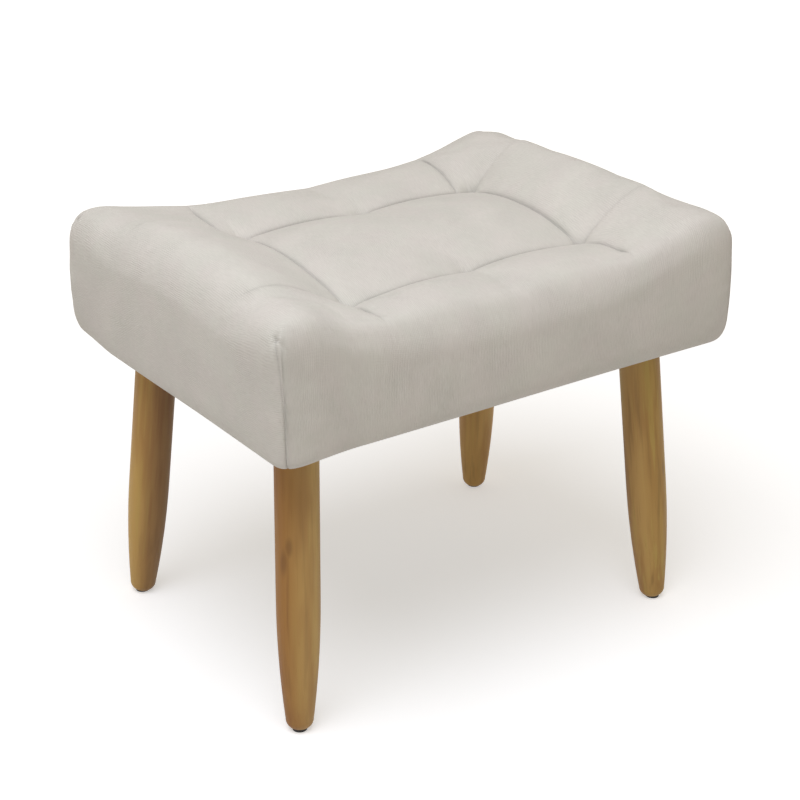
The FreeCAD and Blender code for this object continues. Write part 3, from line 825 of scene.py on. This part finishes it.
dustCloth = {
    "spacing": 0.008,
    "sag": 0.0026,
    "plateSpan": (0.005, 0.045),  # it lies flat this near to the leg plates
    "pucker": 0.0004,
    "puckerSpacing": 0.052,
    "puckerSlant": 1.3,
    "puckerSpans": ((0.014, 0.024), (0.05, 0.02)),  # from the edge
    "colour": (0.013, 0.013, 0.014),
    "worn": (0.032, 0.031, 0.031),
}


def buildDustCloth():
    low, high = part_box("dust_cover")
    columns, rows = [np.linspace(start, end, round((end - start) / dustCloth["spacing"]) + 1)
                     for start, end in ((low.x, high.x), (low.y, high.y))]
    x, y = np.meshgrid(columns, rows, indexing="ij")
    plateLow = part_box("back_right_leg_plate")[0]
    inner = np.maximum(plateLow.x - np.abs(x), plateLow.y - np.abs(y))
    clear = ramp(inner, *dustCloth["plateSpan"])
    sag = dustCloth["sag"] * (1 - (x / high.x) ** 2) * (1 - (y / high.y) ** 2) * clear
    edge = np.minimum(high.x - np.abs(x), high.y - np.abs(y))
    wave = np.sin(2 * np.pi * (x + y * dustCloth["puckerSlant"]) / dustCloth["puckerSpacing"]) ** 2
    setsIn, diesOut = dustCloth["puckerSpans"]
    pucker = dustCloth["pucker"] * wave * ramp(edge, *setsIn) * ramp(edge, *diesOut) * clear
    points = np.stack([x, y, (low.z + high.z) / 2 - sag - pucker], axis=-1).reshape(-1, 3)
    faces = gridFaces(np.arange(x.size).reshape(x.shape))[:, [0, 3, 2, 1]]  # facing down
    cloth = addObject("dust_cloth", addSmoothMesh("dust_cloth", points, faces))
    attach(cloth, "root")
    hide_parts("dust_cover")
    return cloth


dustPiece = buildDustCloth()
print("dust cover built")


# Effects that several finishes share

weave = {
    "wander": (75.0, 9.0),  # how the threads wander: waves per metre and radians
    "pickWander": 1.6,
    "patches": (24.0, 0.35, 0.68, 0.1, 1.0),  # the ribs show in patches
    "slubs": 760.0,
    "fuzz": (2300.0, 0.5),
    "rib": 0.3, "pick": 0.13,  # their share of the relief
}


def wovenGroup():
    # a ribbed weave: Place is in metres on the cloth, with the ribs along its second direction
    group, given = newGroup("woven_cloth", Rib=0.0019, Pick=0.0012)
    place = given["Place"]
    parts = addNode(group, "ShaderNodeSeparateXYZ", place).outputs
    (wanderScale, wanderSize), (fuzzScale, fuzzShare) = weave["wander"], weave["fuzz"]
    wander = sums(group, "MULTIPLY", noise(group, place, wanderScale, 2.0), wanderSize)
    ribTurns = sums(group, "MULTIPLY", parts["X"], sums(group, "DIVIDE", math.tau, given["Rib"]))
    pickTurns = sums(group, "MULTIPLY", parts["Y"], sums(group, "DIVIDE", math.tau, given["Pick"]))
    rib = sums(group, "SINE", sums(group, "ADD", ribTurns, wander))
    pickTurns = sums(group, "MULTIPLY_ADD", wander, weave["pickWander"], pickTurns)
    pick = sums(group, "SINE", pickTurns)
    patchScale, *patchRange = weave["patches"]
    patch = stretch(group, noise(group, place, patchScale, 3.0), *patchRange)
    slub = noise(group, scaled(group, place, (1.0, 0.14, 1.0)), weave["slubs"], 2.0)
    fuzz = sums(group, "SUBTRACT", noise(group, place, fuzzScale, 2.0), 0.5)
    waves = sums(group, "MULTIPLY_ADD", rib, weave["rib"], sums(group, "MULTIPLY", pick, weave["pick"]))
    thread = sums(group, "MULTIPLY_ADD", waves, patch, slub)
    return finishGroup(
        group,
        Thread=sums(group, "MULTIPLY_ADD", fuzz, fuzzShare, thread, clamp=True),
        Cloud=noise(group, place, 15.0, 4.0, 0.6),
        Tint=noise(group, vectorSums(group, "ADD", place, (3.1, 1.7, 0.4)), 31.0, 2.0))


def noiseGroup(name, **layers):
    # each layer: how Place is stretched, waves per metre at a Fineness of 1, detail, roughness and distortion
    group, given = newGroup(name, Fineness=1.0)
    place = vectorSums(group, "SCALE", given["Place"], None, None, given["Fineness"])
    return finishGroup(group, **{layer: noise(group, scaled(group, place, factors), *values)
                                 for layer, (factors, *values) in layers.items()})


even = (1, 1, 1)
woven = wovenGroup()
# felted or foamed stuff: fine fibres or cells, and the clumps that they lie in
fibres = noiseGroup("fibre_mat", Fibre=(even, 1.0, 4.0, 0.7, 1.6), Clump=(even, 0.07, 3.0, 0.55, 0.5))
# wood cut along the third direction of Place
grain = noiseGroup("wood_grain", Broad=((1, 1, 0.13), 46.0, 2.0, 0.45, 0.35),
                   Streak=((1, 1, 0.055), 150.0, 3.0, 0.55, 0.25), Fine=((1, 1, 0.03), 700.0, 2.0, 0.6))
workedMetal = noiseGroup("worked_metal", Scratch=((1, 0.05, 1), 1400.0, 3.0, 0.6), Cloud=(even, 85.0, 3.0))
moulded = noiseGroup("moulded_plastic", Grain=(even, 1700.0, 2.0), Haze=(even, 120.0, 3.0))


# Finishes

cover = {
    "dark": (0.62, 0.592, 0.54),
    "light": (0.738, 0.706, 0.65),
    "rosy": (1.01, 0.997, 1.000),
    "mossy": (0.992, 1.003, 0.99),
    "cloud": (0.955, 1.045),
    # how much the painted shade in the seams and tufts darkens the cloth
    "seamShade": 0.34,
    "relief": 0.00032,
}


def coverMaterial():
    material, tree = newMaterial("cover_fabric", Roughness=0.92, Sheen_Weight=0.18, Sheen_Roughness=0.5)
    cloth = useGroup(tree, woven, addNode(tree, "ShaderNodeUVMap", uv_map="fabric").outputs[0])
    colour = blendColours(tree, cloth["Thread"], cover["dark"], cover["light"])
    tint = blendColours(tree, stretch(tree, cloth["Tint"], 0.35, 0.65), cover["rosy"], cover["mossy"])
    colour = blendColours(tree, 1.0, colour, tint, "MULTIPLY")
    # painted shade in the seams' creases, from the seamShade attribute
    paintedCreaseShade = addNode(tree, "ShaderNodeAttribute", attribute_name="seamShade").outputs["Fac"]
    tone = sums(tree, "MULTIPLY", stretch(tree, cloth["Cloud"], 0.3, 0.7, *cover["cloud"]),
                sums(tree, "MULTIPLY_ADD", paintedCreaseShade, -cover["seamShade"], 1.0))
    colour = vectorSums(tree, "SCALE", colour, None, None, tone)
    return finished(material, colour, cloth["Thread"], cover["relief"])


def clothMaterial(name, low, high, fineness, placing=objectPlace, relief=0.0003, roughness=0.95):
    material, tree = newMaterial(name, Roughness=roughness)
    mat = useGroup(tree, fibres, placing(tree), Fineness=fineness)
    fibre = sums(tree, "MULTIPLY", mat["Fibre"], 0.5)
    mixed = stretch(tree, sums(tree, "MULTIPLY_ADD", mat["Clump"], 0.6, fibre, clamp=True), 0.3, 0.8)
    return finished(material, blendColours(tree, mixed, low, high), mat["Fibre"], relief)


legWood = {
    "brown": (0.405, 0.208, 0.068),
    "honey": (0.5, 0.285, 0.094),
    "yellow": (0.5, 0.325, 0.098),
    "dark": (0.235, 0.125, 0.046),
    "darkStreaks": 0.42,
    "pores": 0.22,
    "marking": 0.55,
    "halfWidth": 0.018,  # over which a leg's painted shade passes into its painted light
    "roughness": (0.44, 0.6),
    "relief": 0.0001,
    # for each leg: where in the log it was cut, how yellow and streaky it is, and how light it is painted,
    # partly the wood's own tone and partly painted light; the back right leg stands in shade and is painted
    # lightest
    "cuts": {
        "front_left": (0.31, 0.25, 0.55, (0.92, 0.91, 0.84)),
        "front_right": (1.27, 0.6, 1.0, (1.13, 1.23, 1.14)),
        "back_left": (2.15, 0.35, 0.6, (1.12, 1.2, 1.04)),
        "back_right": (3.4, 0.3, 0.7, (1.5, 1.68, 1.86)),
    },
    # painted light and shade: the side of each leg that is painted darker as if in shade, the painted shade
    # tone there, and the painted light tone on the other side
    "paintedShadeSide": {
        "front_left": ((-0.82, 0.57, 0), (0.79, 0.65, 0.5), (1.22, 1.41, 1.6)),
        "front_right": ((-0.82, 0.57, 0), (0.98, 0.95, 1.08), (0.9, 0.92, 0.82)),
        "back_left": ((0.82, -0.57, 0), (0.56, 0.51, 0.74), (1.02, 1.02, 1.02)),
        "back_right": ((0.82, -0.57, 0), (0.95, 0.95, 1.0), (1.0, 1.0, 1.0)),
    },
    # small dark marks: place, and size across and along the leg
    "marks": {
        "front_left": (((-0.2405, -0.162, 0.204), (0.0045, 0.011)),
                       ((-0.243, -0.1575, 0.186), (0.005, 0.016))),
        "front_right": (((0.2335, -0.173, 0.163), (0.003, 0.013)), ((0.235, -0.169, 0.12), (0.003, 0.012))),
    },
}


def legMaterial(name):
    material, tree = newMaterial(f"{name}_leg_wood", Specular_IOR_Level=0.3)
    # the leg's axis, from the middles of its plate and its glide
    low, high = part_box(f"{name}_leg")
    top, foot = nodeCentre(f"{name}_leg_plate"), nodeCentre(f"{name}_glide")
    top.z, foot.z = high.z, low.z
    down, straightDown = (foot - top).normalized(), Vector((0, 0, -1))
    axis, angle = down.cross(straightDown).normalized(), down.angle(straightDown)
    place = addNode(tree, "ShaderNodeVectorRotate", objectPlace(tree), top, axis, angle,
                    rotation_type="AXIS_ANGLE").outputs[0]
    cut, yellow, streaky, paintedLightness = legWood["cuts"][name]
    inLog = vectorSums(tree, "ADD", place, (cut, cut * 0.7, cut * 0.3))
    wood = useGroup(tree, grain, inLog, Fineness=1.0)
    broad = stretch(tree, wood["Broad"], 0.38, 0.62, smooth=True)
    colour = blendColours(tree, broad, legWood["brown"], legWood["honey"])
    band = stretch(tree, wood["Streak"], 0.5, 0.66, 0.0, yellow, smooth=True)
    colour = blendColours(tree, band, colour, legWood["yellow"])
    darker = stretch(tree, wood["Streak"], 0.48, 0.3, 0.0, legWood["darkStreaks"] * streaky, smooth=True)
    colour = blendColours(tree, darker, colour, legWood["dark"])
    pores = stretch(tree, wood["Fine"], 0.62, 0.75, 0.0, legWood["pores"])
    for spot, (across, along) in legWood["marks"].get(name, ()):
        offset = vectorSums(tree, "SUBTRACT", objectPlace(tree), spot)
        away = vectorSums(tree, "LENGTH", scaled(tree, offset, (1 / across, 1 / across, 1 / along)))
        mark = stretch(tree, away, 0.3, 1.3, legWood["marking"], 0.0, smooth=True)
        pores = sums(tree, "MAXIMUM", pores, mark)
    colour = blendColours(tree, pores, colour, legWood["dark"])
    # painted shade on one side of the leg and painted light on the other, for how the lamps fall on it
    towards, paintedShadeTone, paintedLightTone = legWood["paintedShadeSide"][name]
    aside = vectorSums(tree, "DOT_PRODUCT", vectorSums(tree, "SUBTRACT", place, top), towards)
    aside = stretch(tree, aside, -legWood["halfWidth"], legWood["halfWidth"], smooth=True)
    colour = vectorSums(tree, "MULTIPLY", colour, blendColours(tree, aside, paintedLightTone, paintedShadeTone))
    # each leg's colour scaled by its painted lightness: partly the wood's own tone, partly painted light
    return finished(material, scaled(tree, colour, paintedLightness), wood["Fine"], legWood["relief"],
                    stretch(tree, wood["Fine"], 0.3, 0.7, *legWood["roughness"]))


boards = {
    "pine": ((0.66, 0.46, 0.24), (0.52, 0.31, 0.14)),
    "veneer": ((0.62, 0.44, 0.25), (0.54, 0.35, 0.18)),
    "veneerEdge": ((0.6, 0.42, 0.23), (0.42, 0.26, 0.13)),
    "veneerThickness": 0.0018,
}


def plankMaterial(name, along):
    # sawn softwood with its grain along X or Y
    material, tree = newMaterial(name, Roughness=0.75)
    parts = addNode(tree, "ShaderNodeSeparateXYZ", objectPlace(tree)).outputs
    order = "ZYX" if along == "X" else "XZY"
    place = addNode(tree, "ShaderNodeCombineXYZ", *[parts[axis] for axis in order]).outputs[0]
    wood = useGroup(tree, grain, place, Fineness=1.3)
    light, dark = boards["pine"]
    colour = blendColours(tree, stretch(tree, wood["Broad"], 0.4, 0.6, smooth=True), light, dark)
    colour = blendColours(tree, stretch(tree, wood["Streak"], 0.55, 0.75, 0.0, 0.5), colour, dark)
    return finished(material, colour, wood["Fine"], 0.0002)


def plywoodMaterial(name):
    # the faces show one veneer's grain, the edges show the veneers in turn
    material, tree = newMaterial(name, Roughness=0.7)
    parts = addNode(tree, "ShaderNodeSeparateXYZ", objectPlace(tree)).outputs
    turned = addNode(tree, "ShaderNodeCombineXYZ", parts["Z"], parts["Y"], parts["X"]).outputs[0]
    wood = useGroup(tree, grain, turned, Fineness=0.8)
    face = blendColours(tree, stretch(tree, wood["Broad"], 0.4, 0.6), *boards["veneer"])
    layer = sums(tree, "PINGPONG", parts["Z"], boards["veneerThickness"])
    edge = blendColours(tree, stretch(tree, layer, 0.0008, 0.0011), *boards["veneerEdge"])
    normal = addNode(tree, "ShaderNodeNewGeometry").outputs["Normal"]
    upright = addNode(tree, "ShaderNodeSeparateXYZ", normal).outputs["Z"]
    onFace = sums(tree, "GREATER_THAN", sums(tree, "ABSOLUTE", upright), 0.6)
    return finished(material, blendColours(tree, onFace, edge, face), wood["Fine"], 0.00015)


def metalMaterial(name, low, high, fineness, roughness):
    material, tree = newMaterial(name, Metallic=1.0)
    worked = useGroup(tree, workedMetal, objectPlace(tree), Fineness=fineness)
    return finished(material, blendColours(tree, stretch(tree, worked["Cloud"], 0.3, 0.7), low, high),
                    worked["Scratch"], 0.00004, stretch(tree, worked["Scratch"], 0.3, 0.7, *roughness))


def plasticMaterial(name, low, high, roughness):
    material, tree = newMaterial(name)
    skin = useGroup(tree, moulded, objectPlace(tree))
    return finished(material, blendColours(tree, skin["Haze"], low, high), skin["Grain"], 0.00006,
                    stretch(tree, skin["Haze"], 0.3, 0.7, *roughness))


def twinePlace(tree):
    # drawn out along the cord and twisted round it
    parts = addNode(tree, "ShaderNodeSeparateXYZ", objectPlace(tree)).outputs
    twisted = sums(tree, "MULTIPLY_ADD", parts["Z"], 0.6, parts["X"])
    drawnOut = sums(tree, "MULTIPLY", parts["Z"], 0.35)
    return addNode(tree, "ShaderNodeCombineXYZ", twisted, parts["Y"], drawnOut).outputs[0]


def dress(material, *names):
    for name in names:
        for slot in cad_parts[name].material_slots:
            slot.material = material


# for each finish: its maker and name, its other values, and how the names of its pieces end
finishes = (
    (clothMaterial, "wadding", (0.8, 0.8, 0.78), (0.92, 0.92, 0.91), 700.0, "fibre_wrap"),
    (clothMaterial, "foam", (0.8, 0.72, 0.46), (0.9, 0.83, 0.6), 1500.0, "foam"),
    (clothMaterial, "twine", (0.52, 0.47, 0.38), (0.76, 0.72, 0.62), 1600.0, twinePlace, tuple("123456")),
    (metalMaterial, "plate_steel", (0.56, 0.56, 0.56), (0.68, 0.68, 0.67), 1.0, (0.28, 0.44),
     ("leg_plate", "leg_bolt")),
    (metalMaterial, "screw_steel", (0.62, 0.58, 0.44), (0.72, 0.68, 0.55), 2.0, (0.24, 0.4), "screws"),
    (metalMaterial, "staple_steel", (0.6, 0.6, 0.61), (0.74, 0.74, 0.75), 2.5, (0.22, 0.36), "staples"),
    (plasticMaterial, "glide_plastic", (0.01, 0.009, 0.008), (0.03, 0.027, 0.025), (0.42, 0.6), "glide"),
    (plasticMaterial, "washer_plastic", (0.7, 0.68, 0.63), (0.78, 0.77, 0.73), (0.4, 0.55), "washers"),
    (plankMaterial, "frame_wood_long", "X", ("front_rail", "back_rail", "corner_block")),
    (plankMaterial, "frame_wood_cross", "Y", ("left_rail", "right_rail", "cross_rail")),
    (plywoodMaterial, "plywood", "plywood_deck"),
)
for maker, *values, endings in finishes:
    dress(maker(*values), *[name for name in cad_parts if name.endswith(endings)])
for end in legWood["cuts"]:
    dress(legMaterial(end), f"{end}_leg")
coverCloth = coverMaterial()
dress(coverCloth, "seat_cover")
seatPad.data.materials.append(coverCloth)
dustMaterial = clothMaterial("dust_cover_fabric", dustCloth["colour"], dustCloth["worn"], 1400.0,
                             relief=0.0002, roughness=0.85)
dustPiece.data.materials.append(dustMaterial)
print("finishes made:", len(bpy.data.materials), "materials")
